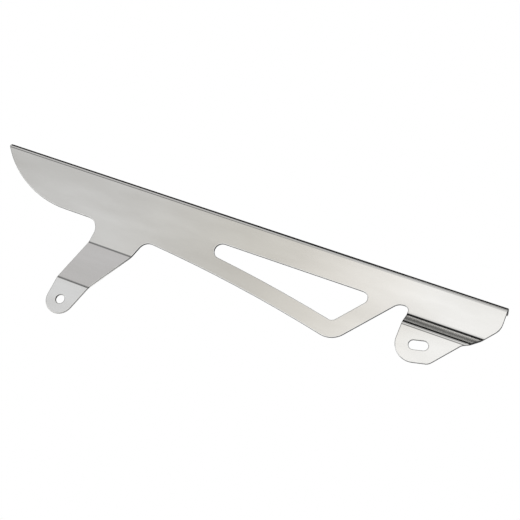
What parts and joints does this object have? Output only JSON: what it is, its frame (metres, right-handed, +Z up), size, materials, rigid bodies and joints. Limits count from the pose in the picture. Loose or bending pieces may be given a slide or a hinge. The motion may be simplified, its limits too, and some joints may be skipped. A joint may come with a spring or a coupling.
{
  "type": "motorcycle chain guard",
  "caption": "Polished folded-sheet guard for the upper chain run of a motorcycle, with a top flange, tapered nose, triangular cut-out, stepped front tab and joggled rear tab with a slot.",
  "frame": {"origin": "centre of the round bolt hole in the front tab, halfway through the sheet", "axes": "+X along the straight top edge towards the rear end, +Y from the outer face towards the wheel, +Z up, from the hole towards the flange"},
  "size_m": [0.52, 0.04, 0.15],
  "materials": {
    "steel": "mirror polished"
  },
  "bodies": {
    "root": {"guard": "steel"}
  },
  "joints": []
}
